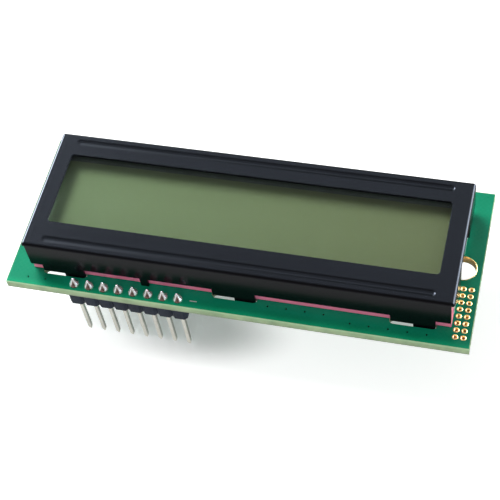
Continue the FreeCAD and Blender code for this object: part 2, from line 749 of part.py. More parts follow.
def make_pin(number):
    pin = new_body(f"header_pin_{number + 1}", x=f"({HEADER_X} + {number} * pin_pitch)",
                   y=HEADER_Y, z="0")
    outline = new_sketch(pin, f"pin_{number + 1}_outline")
    add_rectangle(outline, "pin_side", "pin_side")
    shank = pad(pin, f"pin_{number + 1}_shank", outline, f"({BOARD_TOP} + pin_top_reach)")
    tip = edges_where(shank, lambda edge: edge.BoundBox.ZMax < NEAR)
    taper = chamfer(pin, f"pin_{number + 1}_tip", shank, tip, "pin_tip_length")
    taper.ChamferType = "Two distances"
    bind(taper, {"Size2": "(pin_side - pin_tip_side) / 2"})
    return pin


# Solder: a shiny cone over the top of each pin.
def make_solder_joints():
    body = new_body("header_solder_joints", x=HEADER_X, y=HEADER_Y, z=BOARD_TOP)
    section = new_sketch(body, "joint_section", plane="XZ_Plane")
    add_profile(section, [
        ("0", "0"),
        ("(solder_base_diameter / 2)", "0"),
        ("(solder_tip_diameter / 2)", "solder_height"),
        ("0", "solder_height"),
    ])
    joint = revolve(body, "joint", section)
    core = new_sketch(body, "pin_room_outline")
    add_rectangle(core, "pin_side", "pin_side")
    room = pocket(body, "pin_room", core, "pin_top_reach", reverse=True)
    row_pattern(body, "joints", [joint, room], "X_Axis", "pin_pitch", "pin_count")
    return body


# Under the board: two low domes of black resin over the bare chips, and small chip parts.
def make_chip_domes():
    made = []
    for size, side in (("large", "-1"), ("small", "1")):
        body = new_body(f"resin_dome_{size}", x=f"{side} * ({BOARD_LENGTH} / 2 - {size}_blob_inset)",
                        y="blob_y", z=UNDER_BOARD)
        section = new_sketch(body, f"{size}_dome_section", plane="XZ_Plane")
        half = f"({size}_blob_diameter / 2)"
        low = "(-1 * blob_height)"
        add_profile(section, [
            ("0", "0"),
            ("0", low),
            (f"({half} - blob_flank)", low),
            (half, "0"),
        ])
        revolve(body, f"{size}_dome", section)
        made.append(body)
    return made


def make_chip_parts(label, x, y, height, axis, pitch, count):
    body = new_body(label, x=x, y=y, z=UNDER_BOARD)
    outline = new_sketch(body, f"{label}_outline")
    if axis == "X_Axis":
        add_rectangle(outline, "chip_width", "chip_length")
    else:
        add_rectangle(outline, "chip_length", "chip_width")
    block = pad(body, f"{label}_block", outline, height, reverse=True)
    low = -evaluate(height)
    lower = edges_where(block, lambda edge: edge.BoundBox.ZMax < low + NEAR)
    eased = chamfer(body, f"{label}_edges", block, lower, "part_edge")
    row_pattern(body, f"{label}_row", [block, eased], axis, pitch, count)
    return body


sub_parts = [
    make_circuit_board(),
    make_bezel(),
    *make_display_cell(),
    *make_connector_strips(),
    *make_backlight(),
    *make_backlight_leads(),
    *make_header(),
    make_solder_joints(),
    *make_chip_domes(),
    make_chip_parts("chip_resistors", f"({BOARD_LENGTH} / 2 - resistor_inset)", "resistor_y",
                    "chip_height", "X_Axis", "chip_pitch", "resistor_count"),
    make_chip_parts("chip_capacitors", f"(capacitor_inset - {BOARD_LENGTH} / 2)", "capacitor_y",
                    "capacitor_height", "Y_Axis", "capacitor_pitch", "capacitor_count"),
]
doc.recompute()
for item in doc.Objects:
    if "Invalid" in item.State or "Error" in item.State:
        raise RuntimeError(f"{item.Name} failed: {item.State}")
for body in sub_parts:
    if body.Shape.isNull() or not body.Shape.isValid():
        raise RuntimeError(f"{body.Label} has no valid shape")
os.makedirs("parts", exist_ok=True)
for body in sub_parts:
    body.Shape.exportStep(f"parts/{body.Label}.step")
    print(f"{body.Label}: {len(body.Shape.Solids)} solid, {body.Shape.Volume:.3f} mm3")
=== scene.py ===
import bpy
import math
from mathutils import Matrix, Vector


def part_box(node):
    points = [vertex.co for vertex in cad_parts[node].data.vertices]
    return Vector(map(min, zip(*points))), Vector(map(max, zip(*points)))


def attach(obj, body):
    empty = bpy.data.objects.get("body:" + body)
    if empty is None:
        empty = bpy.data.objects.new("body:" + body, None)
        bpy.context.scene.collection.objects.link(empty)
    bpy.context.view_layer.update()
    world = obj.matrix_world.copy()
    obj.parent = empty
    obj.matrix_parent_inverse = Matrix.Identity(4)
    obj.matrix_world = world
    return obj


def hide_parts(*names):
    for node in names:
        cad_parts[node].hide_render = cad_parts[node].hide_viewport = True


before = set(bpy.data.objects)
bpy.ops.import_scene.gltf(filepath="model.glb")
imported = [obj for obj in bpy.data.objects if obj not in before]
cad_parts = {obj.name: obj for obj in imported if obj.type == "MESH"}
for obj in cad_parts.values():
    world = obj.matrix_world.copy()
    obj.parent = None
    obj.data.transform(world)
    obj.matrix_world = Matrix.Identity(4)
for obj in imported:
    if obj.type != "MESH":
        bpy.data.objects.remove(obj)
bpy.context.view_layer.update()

# Circuit board: glass fibre laminate under green solder mask, routed to its outline and drilled.
# The mask stops a hair short of the routed edge. Painted light makes it lighter next to the bezel,
# where the bezel's shade falls, and along the front edge. Small tented vias are drilled in rows.
MM = 0.001
BOARD_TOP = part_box("circuit_board")[1].z / MM
BOARD_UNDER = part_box("circuit_board")[0].z / MM
BOARD_REACH_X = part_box("circuit_board")[1].x / MM
BOARD_REACH_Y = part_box("circuit_board")[1].y / MM
VIA_DIAMETER = 0.3
VIA_PITCH = 3.04
VIA_ROWS = [(-34.8, -13.48, 2), (5.8, -12.55, 4), (19.3, -13.48, 5)]
MASK_PULL_BACK = 0.08
MASK_DARK = (0.002, 0.207, 0.102)
MASK_LIGHT = (0.004, 0.265, 0.134)
MASK_WEAVE = (0.05, 0.42, 0.25)
MASK_PAINTED_LIGHT = (0.008, 0.45, 0.25)
MASK_PAINTED_EDGE_LIGHT = (0.006, 0.46, 0.20)
WEAVE_SHARE = 0.07
PAINTED_LIGHT_SHARE = 0.5
PAINTED_LIGHT_FADES = [("Y", -14.0, -13.1), ("X", -32, -28), ("X", 36, 31), ("Z", BOARD_UNDER, BOARD_TOP)]
GLOW_START = 1.2
GLOW_FULL = 0.2
GLOW_SHARE = 0.3
BARE_RIM = (0.50, 0.66, 0.42)
LAMINATE_DARK = (0.29, 0.43, 0.24)
LAMINATE_LIGHT = (0.48, 0.65, 0.37)
LAMINATE_LINE = (0.24, 0.27, 0.17)
LAMINATE_LOW = (0.25, 0.27, 0.22)
LAMINATE_PAINTED_HIGHLIGHT = (0.50, 0.82, 0.46)
CLOTH_LAYER = 0.2
WEAVE_PITCH = 0.9
VIA_DARK = (0.012, 0.06, 0.03)
VIA_LIGHT = (0.02, 0.09, 0.045)


def pick(*pieces):
    """Select these pieces alone, and make the first the one that operators work on."""
    bpy.ops.object.select_all(action="DESELECT")
    for piece in pieces:
        piece.select_set(True)
    bpy.context.view_layer.objects.active = pieces[0]


def whole_copy(node, name):
    """Copy a node's mesh into a piece of its own, its loose triangles joined into whole faces."""
    piece = bpy.data.objects.new(name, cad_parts[node].data.copy())
    piece.data.name = name
    piece.data.materials.clear()
    bpy.context.scene.collection.objects.link(piece)
    pick(piece)
    bpy.ops.object.mode_set(mode="EDIT")
    bpy.ops.mesh.select_all(action="SELECT")
    bpy.ops.mesh.remove_doubles(threshold=0.001 * MM)
    bpy.ops.mesh.dissolve_limited(angle_limit=math.radians(0.5))
    bpy.ops.object.mode_set(mode="OBJECT")
    return piece


def joined(pieces, name):
    """Join pieces into one."""
    pick(*pieces)
    bpy.ops.object.join()
    pieces[0].name = pieces[0].data.name = name
    return pieces[0]


def add_node(tree, kind, inputs=None, **settings):
    """Add a node, its inputs given as plain values or as the outputs that feed them."""
    node = tree.nodes.new(kind)
    for name, value in settings.items():
        setattr(node, name, value)
    for key, value in (inputs or {}).items():
        if isinstance(value, bpy.types.NodeSocket):
            tree.links.new(value, node.inputs[key])
        else:
            node.inputs[key].default_value = value
    return node


def grain_group():
    """Uneven tone in soft patches, and fine grain for roughness and bump."""
    tree = bpy.data.node_groups.new("surface_grain", "ShaderNodeTree")
    for name in ("Patch Scale", "Grain Scale"):
        tree.interface.new_socket(name, in_out="INPUT", socket_type="NodeSocketFloat")
    for name in ("Patch", "Grain"):
        tree.interface.new_socket(name, in_out="OUTPUT", socket_type="NodeSocketFloat")
    given = tree.nodes.new("NodeGroupInput")
    place = tree.nodes.new("ShaderNodeTexCoord").outputs["Object"]
    result = tree.nodes.new("NodeGroupOutput")
    patch = add_node(tree, "ShaderNodeTexNoise", {
        "Vector": place, "Scale": given.outputs["Patch Scale"], "Detail": 3, "Roughness": 0.55})
    grain = add_node(tree, "ShaderNodeTexNoise", {
        "Vector": place, "Scale": given.outputs["Grain Scale"], "Detail": 2, "Roughness": 0.6})
    tree.links.new(patch.outputs["Fac"], result.inputs["Patch"])
    tree.links.new(grain.outputs["Fac"], result.inputs["Grain"])
    return tree


surface_grain = grain_group()


def new_finish(name, dark, light, rough, patch, grain, bump, sockets=None):
    """A finish whose tone, gloss and surface vary.

    Tone goes from dark to light over patches of a size in millimetres, roughness between two
    values with the grain, and the grain's bump has a height in millimetres."""
    material = bpy.data.materials.new(name)
    material.use_nodes = True
    tree = material.node_tree
    shader = tree.nodes["Principled BSDF"]
    for key, value in (sockets or {}).items():
        shader.inputs[key].default_value = value
    marks = add_node(tree, "ShaderNodeGroup", node_tree=surface_grain)
    marks.inputs["Patch Scale"].default_value = 1 / (patch * MM)
    marks.inputs["Grain Scale"].default_value = 1 / (grain * MM)
    tone = add_node(tree, "ShaderNodeMapRange", {
        "Value": marks.outputs["Patch"], "From Min": 0.3, "From Max": 0.7})
    colour = add_node(tree, "ShaderNodeMix", {
        "Factor": tone.outputs["Result"], 6: (*dark, 1), 7: (*light, 1)}, data_type="RGBA")
    gloss = add_node(tree, "ShaderNodeMapRange", {
        "Value": marks.outputs["Grain"], "From Min": 0.3, "From Max": 0.7,
        "To Min": rough[0], "To Max": rough[1]})
    relief = add_node(tree, "ShaderNodeBump", {
        "Height": marks.outputs["Grain"], "Distance": bump * MM, "Strength": 1.0})
    tree.links.new(colour.outputs[2], shader.inputs["Base Color"])
    tree.links.new(gloss.outputs["Result"], shader.inputs["Roughness"])
    tree.links.new(relief.outputs["Normal"], shader.inputs["Normal"])
    return material


def colour_of(material):
    """The output that feeds a finish's colour, to lay more over it."""
    return material.node_tree.nodes["Principled BSDF"].inputs["Base Color"].links[0].from_socket


def lay_over(material, mask, colour):
    """Lay a colour over a finish where a mask is 1."""
    tree = material.node_tree
    over = add_node(tree, "ShaderNodeMix", {
        "Factor": mask, 6: colour_of(material), 7: (*colour, 1)}, data_type="RGBA")
    tree.links.new(over.outputs[2], tree.nodes["Principled BSDF"].inputs["Base Color"])


def object_axes(tree):
    """The X, Y and Z outputs of the piece's own place."""
    place = tree.nodes.new("ShaderNodeTexCoord").outputs["Object"]
    return add_node(tree, "ShaderNodeSeparateXYZ", {"Vector": place}).outputs


def sums(tree, operation, *values):
    """The output of a math node."""
    inputs = dict(enumerate(values))
    return add_node(tree, "ShaderNodeMath", inputs, operation=operation).outputs[0]


def weave_marks(tree, pitch):
    """Faint crossing bands of glass cloth."""
    axes = object_axes(tree)
    turns = 2 * math.pi / (pitch * MM)
    bands = [sums(tree, "SINE", sums(tree, "MULTIPLY", axis, turns)) for axis in axes[:2]]
    return sums(tree, "MULTIPLY_ADD", sums(tree, "MULTIPLY", *bands), 0.5, 0.5)


mask_finish = new_finish("green_mask", MASK_DARK, MASK_LIGHT, (0.26, 0.36), 9, 0.35, 0.004,
                         {"Coat Weight": 0.04, "Coat Roughness": 0.1, "Specular IOR Level": 0.12})
mask_tree = mask_finish.node_tree
weave = sums(mask_tree, "MULTIPLY", weave_marks(mask_tree, WEAVE_PITCH), WEAVE_SHARE)
lay_over(mask_finish, weave, MASK_WEAVE)
mask_axes = object_axes(mask_tree)
# Painted light: the top of the mask is lightened where the bezel's shade falls, fading out towards the front
# edge and the ends.
painted_light_by_bezel = PAINTED_LIGHT_SHARE
for axis, start, full in PAINTED_LIGHT_FADES:
    painted_light_by_bezel = sums(mask_tree, "MULTIPLY", painted_light_by_bezel, add_node(mask_tree, "ShaderNodeMapRange", {
        "Value": mask_axes[axis], "From Min": start * MM, "From Max": full * MM}).outputs["Result"])
lay_over(mask_finish, painted_light_by_bezel, MASK_PAINTED_LIGHT)
inset_x = sums(mask_tree, "SUBTRACT", sums(mask_tree, "ABSOLUTE", mask_axes["X"]), BOARD_REACH_X * MM)
inset_y = sums(mask_tree, "SUBTRACT", sums(mask_tree, "ABSOLUTE", mask_axes["Y"]), BOARD_REACH_Y * MM)
inset = sums(mask_tree, "MAXIMUM", inset_x, inset_y)
# Painted light: the mask is lighter along the front edge.
painted_front_edge_light = add_node(mask_tree, "ShaderNodeMapRange", {
    "Value": mask_axes["Y"], "From Min": (GLOW_START - BOARD_REACH_Y) * MM,
    "From Max": (GLOW_FULL - BOARD_REACH_Y) * MM, "To Min": 0.0, "To Max": GLOW_SHARE}).outputs["Result"]
lay_over(mask_finish, painted_front_edge_light, MASK_PAINTED_EDGE_LIGHT)
past_mask = sums(mask_tree, "GREATER_THAN", inset, -MASK_PULL_BACK * MM)
lay_over(mask_finish, past_mask, BARE_RIM)

laminate_finish = new_finish("laminate_edge", LAMINATE_DARK, LAMINATE_LIGHT, (0.55, 0.8), 3, 0.12, 0.02)
edge_tree = laminate_finish.node_tree
edge_layers = sums(edge_tree, "MULTIPLY", object_axes(edge_tree)["Z"], 2 * math.pi / (CLOTH_LAYER * MM))
edge_lines = sums(edge_tree, "MULTIPLY_ADD", sums(edge_tree, "SINE", edge_layers), 0.16, 0.16)
lay_over(laminate_finish, edge_lines, LAMINATE_LINE)
low_edge = add_node(edge_tree, "ShaderNodeMapRange", {
    "Value": object_axes(edge_tree)["Z"], "From Min": (BOARD_UNDER + 0.08) * MM,
    "From Max": (BOARD_UNDER + 0.5) * MM, "To Min": 0.55, "To Max": 0.0}).outputs["Result"]
lay_over(laminate_finish, low_edge, LAMINATE_LOW)
# Painted highlight: a lighter, greener band along the top of the routed edge.
painted_top_highlight = add_node(edge_tree, "ShaderNodeMapRange", {
    "Value": object_axes(edge_tree)["Z"], "From Min": (BOARD_TOP - 0.6) * MM,
    "From Max": BOARD_TOP * MM, "To Min": 0.0, "To Max": 0.6}).outputs["Result"]
lay_over(laminate_finish, painted_top_highlight, LAMINATE_PAINTED_HIGHLIGHT)
via_finish = new_finish("via_wall", VIA_DARK, VIA_LIGHT, (0.4, 0.6), 1, 0.1, 0.005)

board = whole_copy("circuit_board", "board_dressed")
via_places = [(x + VIA_PITCH * number, y) for x, y, count in VIA_ROWS for number in range(count)]
cutters = []
for x, y in via_places:
    bpy.ops.mesh.primitive_cylinder_add(
        vertices=20, radius=VIA_DIAMETER / 2 * MM, depth=3 * (BOARD_TOP - BOARD_UNDER) * MM,
        location=(x * MM, y * MM, BOARD_TOP * MM))
    cutters.append(bpy.context.object)
cutter = joined(cutters, "via_drills")
pick(board)
drill = board.modifiers.new("drill", "BOOLEAN")
drill.operation = "DIFFERENCE"
drill.solver = "EXACT"
drill.object = cutter
bpy.ops.object.modifier_apply(modifier="drill")
bpy.data.objects.remove(cutter)
for finish in (mask_finish, laminate_finish, via_finish):
    board.data.materials.append(finish)
for face in board.data.polygons:
    near_via = any(math.hypot(face.center.x / MM - x, face.center.y / MM - y) < 0.6 * VIA_DIAMETER
                   for x, y in via_places)
    face.material_index = 0 if abs(face.normal.z) > 0.5 else 2 if near_via else 1
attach(board, "root")
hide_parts("circuit_board")

# Plating: gold over copper lines the two mounting holes and the sixteen cable holes, and stands as a
# thin ring on both faces of the board.
GOLD_DARK = (0.74, 0.44, 0.15)
GOLD_LIGHT = (0.90, 0.63, 0.29)
PLATING_HEIGHT = 0.05
RING_ROUNDING = 0.03
SLEEVE_WALL = 0.03
MOUNTING_HOLE_DIAMETER = 4.4
MOUNTING_HOLES = [(-35.15, -0.35), (35.15, -0.35)]
MOUNTING_RING = 0.1
CABLE_HOLE_DIAMETER = 0.5
CABLE_RING = 0.22
CABLE_ROWS = 8
CABLE_COLUMNS = 2
CABLE_PITCH = 1.27
CABLE_X = 37.07
CABLE_Y = -13.11
SEAT = 0.01


def turned(name, profile, x, y, steps, closed=False):
    """Turn a profile of (radius, height) points about an upright axis at x, y."""
    places = [Vector((radius, 0, height)) * MM for radius, height in profile]
    bpy.ops.object.select_all(action="DESELECT")
    bpy.ops.mesh.primitive_plane_add(size=MM, location=places[0] + Vector((x, y, 0)) * MM)
    piece = bpy.context.object
    piece.name = piece.data.name = name
    bpy.ops.object.transform_apply(location=True, rotation=True, scale=True)
    bpy.ops.object.mode_set(mode="EDIT")
    bpy.ops.mesh.select_mode(type="VERT")
    bpy.ops.mesh.select_all(action="SELECT")
    bpy.ops.mesh.merge(type="CENTER")
    ends = places[1:] + (places[:1] if closed else [])
    for start, end in zip(places, ends):
        bpy.ops.mesh.extrude_vertices_move(TRANSFORM_OT_translate={"value": end - start})
    bpy.ops.mesh.select_all(action="SELECT")
    bpy.ops.mesh.spin(steps=steps, angle=2 * math.pi, center=(x * MM, y * MM, 0), axis=(0, 0, 1))
    bpy.ops.mesh.select_all(action="SELECT")
    bpy.ops.mesh.remove_doubles(threshold=0.0001 * MM)
    bpy.ops.mesh.normals_make_consistent(inside=False)
    bpy.ops.object.mode_set(mode="OBJECT")
    return piece


def smooth(piece, angle):
    """Shade a piece smooth but for edges that turn more than an angle."""
    pick(piece)
    bpy.ops.object.shade_smooth_by_angle(angle=math.radians(angle))


def eyelet(name, radius, ring, x, y, steps):
    """A plated hole: a thin sleeve in the board with a rounded ring on each face."""
    inner = radius - SEAT
    sleeve = radius + SLEEVE_WALL
    outer = radius + ring
    high, low = BOARD_TOP + PLATING_HEIGHT, BOARD_UNDER - PLATING_HEIGHT
    top = [(inner, high - RING_ROUNDING), (inner + RING_ROUNDING, high), (outer - 0.05, high),
           (outer, high - RING_ROUNDING), (outer, BOARD_TOP - SEAT), (sleeve, BOARD_TOP - SEAT)]
    under = [(sleeve, BOARD_UNDER + SEAT), (outer, BOARD_UNDER + SEAT), (outer, low + RING_ROUNDING),
             (outer - 0.05, low), (inner + RING_ROUNDING, low), (inner, low + RING_ROUNDING)]
    return turned(name, top + under, x, y, steps, closed=True)


gold_finish = new_finish("plated_gold", GOLD_DARK, GOLD_LIGHT, (0.22, 0.38), 0.5, 0.08, 0.006,
                         {"Metallic": 1.0})
mounting_rings = [eyelet("mounting_ring", MOUNTING_HOLE_DIAMETER / 2, MOUNTING_RING, x, y, 96)
                  for x, y in MOUNTING_HOLES]
mounting_plating = joined(mounting_rings, "mounting_hole_plating")
cable_rings = [eyelet("cable_ring", CABLE_HOLE_DIAMETER / 2, CABLE_RING,
                      CABLE_X - CABLE_PITCH * column, CABLE_Y + CABLE_PITCH * row, 28)
               for column in range(CABLE_COLUMNS) for row in range(CABLE_ROWS)]
cable_plating = joined(cable_rings, "cable_hole_plating")
for plating in (mounting_plating, cable_plating):
    smooth(plating, 50)
    plating.data.materials.append(gold_finish)
    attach(plating, "root")

# Traces on the underside: etched copper lines that show as low ridges under the mask. They run from
# the header and the cable holes to the driver chips, and fan out to small pads behind the large one.
TRACE_RADIUS = 0.15
TRACE_HEIGHT = 0.035
TRACE_GREEN = (0.010, 0.34, 0.19)
PIN_COUNT = 8
PIN_PITCH = 2.54
HEADER_FIRST_X = -26.62
BRIDGE_COUNT = 6
FAN_COUNT = 12
CHIP_ROUTES = [[(-17, 4.4), (-7.4, 4.4)], [(-17, 8.6), (-11.4, 8.6), (-8, 5.2), (-7, 5.2)],
               [(9, -9.5), (9, -10.3), (21, -10.3), (21, -9.5)]]
RESISTORS = [(9 + 3 * number, -8.6) for number in range(5)]


def header_route(number):
    """From a header pin, the second one on, to the large driver chip."""
    x, level = HEADER_FIRST_X + PIN_PITCH * (number + 1), 2.6 - 0.8 * number
    return [(x, -12.9), (x, level - 1), (x + 1, level), (-6.5, level)]


def bridge_route(number):
    """From the large driver chip to the small one."""
    level = -0.5 + 0.8 * number
    return [(3, level), (15, level)]


def fan_route(number):
    """From the large driver chip out to a pad."""
    x = -2 + 0.9 * (number - 5.5)
    spread = 0.3 * (number - 5.5)
    return [(x, 4.5), (x, 8.2 - abs(spread)), (x + spread, 8.2), (x + spread, 9.4)]


def resistor_route(number):
    """From a chip resistor to the small driver chip."""
    x, reach = 9 + 3 * number, 5.5 - 1.1 * number
    return [(x, -7.6), (x, -1.6 - reach), (x + reach, -1.6), (x + reach, 0)]


def cable_route(number):
    """From a cable hole to the small driver chip."""
    turn, level, leave = 33.4 + 0.23 * number, -8 + 0.6 * number, 28.1 + 0.25 * number
    rise = leave - 22.5
    return [(35.4, CABLE_Y + CABLE_PITCH * number), (turn, CABLE_Y + CABLE_PITCH * number),
            (turn, level), (leave, level), (leave - rise, level + rise)]


routes = ([header_route(number) for number in range(PIN_COUNT - 1)]
          + [bridge_route(number) for number in range(BRIDGE_COUNT)]
          + [fan_route(number) for number in range(FAN_COUNT)]
          + [resistor_route(number) for number in range(len(RESISTORS))]
          + [cable_route(number) for number in range(CABLE_ROWS)] + CHIP_ROUTES)
trace_lines = bpy.data.curves.new("board_traces", "CURVE")
trace_lines.dimensions = "3D"
trace_lines.bevel_depth = TRACE_RADIUS * MM
trace_lines.bevel_resolution = 1
trace_lines.use_fill_caps = True
trace_level = BOARD_UNDER + TRACE_RADIUS * math.cos(math.pi / 8) - TRACE_HEIGHT
for route in routes:
    line = trace_lines.splines.new("POLY")
    line.points.add(len(route) - 1)
    for point, (x, y) in zip(line.points, route):
        point.co = (x * MM, y * MM, trace_level * MM, 1)
traces = bpy.data.objects.new("board_traces", trace_lines)
bpy.context.scene.collection.objects.link(traces)
pick(traces)
bpy.ops.object.convert(target="MESH")
traces = bpy.context.object
bpy.ops.object.mode_set(mode="EDIT")
bpy.ops.mesh.select_all(action="SELECT")
bpy.ops.mesh.remove_doubles(threshold=0.001 * MM)
bpy.ops.mesh.normals_make_consistent(inside=False)
bpy.ops.object.mode_set(mode="OBJECT")
trace_finish = new_finish("masked_copper", MASK_LIGHT, TRACE_GREEN, (0.24, 0.34), 6, 0.3, 0.003,
                          {"Coat Weight": 0.04, "Coat Roughness": 0.12, "Specular IOR Level": 0.2})
traces.data.materials.append(trace_finish)
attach(traces, "root")

# Pads on the underside: low tinned bumps on the copper, one at the end of each line of the fan-out,
# where the mask leaves it bare.
TIN_GREY = (0.42, 0.42, 0.40)
TIN_BRIGHT = (0.62, 0.61, 0.58)
PAD_RADIUS = 0.28
PAD_HEIGHT = 0.07
tin_finish = new_finish("tinned_pad", TIN_GREY, TIN_BRIGHT, (0.25, 0.4), 0.6, 0.1, 0.004,
                        {"Metallic": 1.0})
pads = []
for number in range(FAN_COUNT):
    x, y = fan_route(number)[-1]
    dome = [(0, BOARD_UNDER - PAD_HEIGHT), (0.6 * PAD_RADIUS, BOARD_UNDER - PAD_HEIGHT + 0.01),
            (PAD_RADIUS, BOARD_UNDER + SEAT), (0, BOARD_UNDER + SEAT)]
    pads.append(turned("via_pad", dome, x, y, 16))
via_pads = joined(pads, "underside_pads")
smooth(via_pads, 60)
via_pads.data.materials.append(tin_finish)
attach(via_pads, "root")

# Ink: a short white tick, printed on the board beside the last pin, marks the header's end. It is
# a thin raised bar with softened edges.
INK_GREY = (0.55, 0.60, 0.55)
INK_WHITE = (0.72, 0.75, 0.70)
TICK_SIZE = (1.2, 0.16, 0.03)
TICK_PLACE = Vector((-6.3, -13.62, BOARD_TOP + 0.005))
bpy.ops.object.select_all(action="DESELECT")
bpy.ops.mesh.primitive_cube_add(size=MM, location=TICK_PLACE * MM)
ink = bpy.context.object
ink.name = ink.data.name = "board_ink_tick"
ink.scale = TICK_SIZE
bpy.ops.object.transform_apply(location=True, rotation=True, scale=True)


def bevel(piece, width, segments, angle):
    """Round the edges of a piece that turn more than an angle, leaving its flat faces flat."""
    pick(piece)
    edge = piece.modifiers.new("edge", "BEVEL")
    edge.width = width * MM
    edge.segments = segments
    edge.limit_method = "ANGLE"
    edge.angle_limit = math.radians(angle)
    edge.use_clamp_overlap = False
    edge.harden_normals = True
    bpy.ops.object.shade_smooth_by_angle(angle=math.radians(angle))
    bpy.ops.object.modifier_apply(modifier="edge")


def flat_kept(piece, area, turn):
    """Shade a piece's faces above an area in mm2 flat, and lean the normals round its folds to them."""
    pick(piece)
    weighted = piece.modifiers.new("weighted", "WEIGHTED_NORMAL")
    weighted.weight = 100
    weighted.keep_sharp = True
    bpy.ops.object.modifier_apply(modifier="weighted")
    normals = [corner.vector.copy() for corner in piece.data.corner_normals]
    wide = {}
    for face in piece.data.polygons:
        if face.area > area * MM * MM:
            for number in face.vertices:
                wide.setdefault(number, []).append(face)
    for loop in piece.data.loops:
        for face in wide.get(loop.vertex_index, []):
            if normals[loop.index].angle(face.normal) < math.radians(turn):
                normals[loop.index] = face.normal.copy()
    piece.data.normals_split_custom_set(normals)


bevel(ink, 0.01, 2, 40)
ink.data.materials.append(new_finish("board_ink", INK_GREY, INK_WHITE, (0.5, 0.65), 0.4, 0.08, 0.004))
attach(ink, "root")

# Driver chips: two bare dies under domes of black resin, poured on the underside and cured. A dome
# swells from a rounded rim to a nearly flat, slightly uneven middle.
DOMES = {"large": (-2.0, 1.5, 6.5), "small": (18.5, 1.5, 5.25)}
DOME_HEIGHT = 1.4
DOME_FULLNESS = 3.2
DOME_RINGS = 18
RESIN_DARK = (0.008, 0.008, 0.009)
RESIN_LIGHT = (0.014, 0.014, 0.016)
resin_finish = new_finish("black_resin", RESIN_DARK, RESIN_LIGHT, (0.22, 0.36), 2.5, 0.5, 0.03,
                          {"Specular IOR Level": 0.5})
for size, (x, y, radius) in DOMES.items():
    steps = [number / DOME_RINGS for number in range(DOME_RINGS + 1)]
    dome = [(radius * math.sin(step * math.pi / 2),
             BOARD_UNDER - DOME_HEIGHT * (1 - math.sin(step * math.pi / 2) ** DOME_FULLNESS))
            for step in steps]
    resin = turned(f"driver_resin_{size}", dome + [(0, BOARD_UNDER)], x, y, 72)
    smooth(resin, 50)
    resin.data.materials.append(resin_finish)
    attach(resin, "root")
    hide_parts(f"resin_dome_{size}")

# Chip resistors and capacitors: ceramic blocks with tinned ends, each end wetted by a solder fillet
# that slopes down to the board.
CHIP_LENGTH = 2.0
CHIP_WIDTH = 1.25
RESISTOR_HEIGHT = 0.5
CAPACITOR_HEIGHT = 0.9
CAP_LENGTH = 0.38
CAP_SKIN = 0.025
FILLET_REACH = 0.42
FILLET_STEPS = ((0.35, 0.45), (0.65, 0.3))
FILLET_NARROWING = 0.12
CAPACITORS = [(-18, 4.4), (-18, 8.6)]
TIN_DARK = (0.48, 0.48, 0.47)
TIN_LIGHT = (0.70, 0.69, 0.67)
GLAZE_DARK = (0.012, 0.012, 0.014)
GLAZE_LIGHT = (0.03, 0.03, 0.033)
CERAMIC_DARK = (0.42, 0.29, 0.17)
CERAMIC_LIGHT = (0.52, 0.38, 0.24)


def dress(node, finish):
    """Give a node that keeps its shape its finish."""
    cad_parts[node].material_slots[0].material = finish


def chip_end(height, x, y, direction):
    """The tinned end of a chip on the underside, with its fillet, facing along a direction."""
    along = Vector((direction[0], direction[1], 0))
    across = Vector((abs(direction[1]), abs(direction[0]), 0))
    middle = Vector((x, y, 0)) + along * (CHIP_LENGTH / 2 - CAP_LENGTH / 2 + CAP_SKIN / 2)
    level = BOARD_UNDER - (height + CAP_SKIN) / 2
    size = Vector((abs(along.x), abs(along.y), 0)) * (CAP_LENGTH + CAP_SKIN)
    size += across * (CHIP_WIDTH + 2 * CAP_SKIN) + Vector((0, 0, height + CAP_SKIN))
    bpy.ops.object.select_all(action="DESELECT")
    bpy.ops.mesh.primitive_cube_add(size=MM, location=(middle + Vector((0, 0, level))) * MM)
    piece = bpy.context.object
    piece.scale = size
    bpy.ops.object.transform_apply(location=True, rotation=True, scale=True)
    for face in piece.data.polygons:
        face.select = face.normal.dot(along) > 0.9
    for edge in piece.data.edges:
        edge.select = False
    for vertex in piece.data.vertices:
        vertex.select = False
    bpy.context.tool_settings.mesh_select_mode = (False, False, True)
    bpy.ops.object.mode_set(mode="EDIT")
    for reach, rest in FILLET_STEPS:
        bpy.ops.mesh.extrude_region_move(TRANSFORM_OT_translate={"value": along * FILLET_REACH * reach * MM})
        bpy.ops.transform.resize(value=tuple(rest if axis == 2 else 1 - FILLET_NARROWING * abs(across[axis])
                                             for axis in range(3)),
                                 center_override=(middle.x * MM, middle.y * MM, BOARD_UNDER * MM))
    bpy.ops.object.mode_set(mode="OBJECT")
    bevel(piece, 0.05, 2, 20)
    return piece


terminal_finish = new_finish("chip_tin", TIN_DARK, TIN_LIGHT, (0.2, 0.36), 0.5, 0.07, 0.006,
                             {"Metallic": 1.0})
for name, places, height, ways in (("resistor_ends", RESISTORS, RESISTOR_HEIGHT, [(0, 1), (0, -1)]),
                                   ("capacitor_ends", CAPACITORS, CAPACITOR_HEIGHT, [(1, 0), (-1, 0)])):
    ends = joined([chip_end(height, x, y, way) for x, y in places for way in ways], name)
    ends.data.materials.append(terminal_finish)
    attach(ends, "root")
dress("chip_resistors", new_finish("resistor_glaze", GLAZE_DARK, GLAZE_LIGHT, (0.25, 0.4), 0.5, 0.1, 0.004))
dress("chip_capacitors", new_finish("capacitor_ceramic", CERAMIC_DARK, CERAMIC_LIGHT,
                                    (0.45, 0.6), 0.5, 0.08, 0.006))

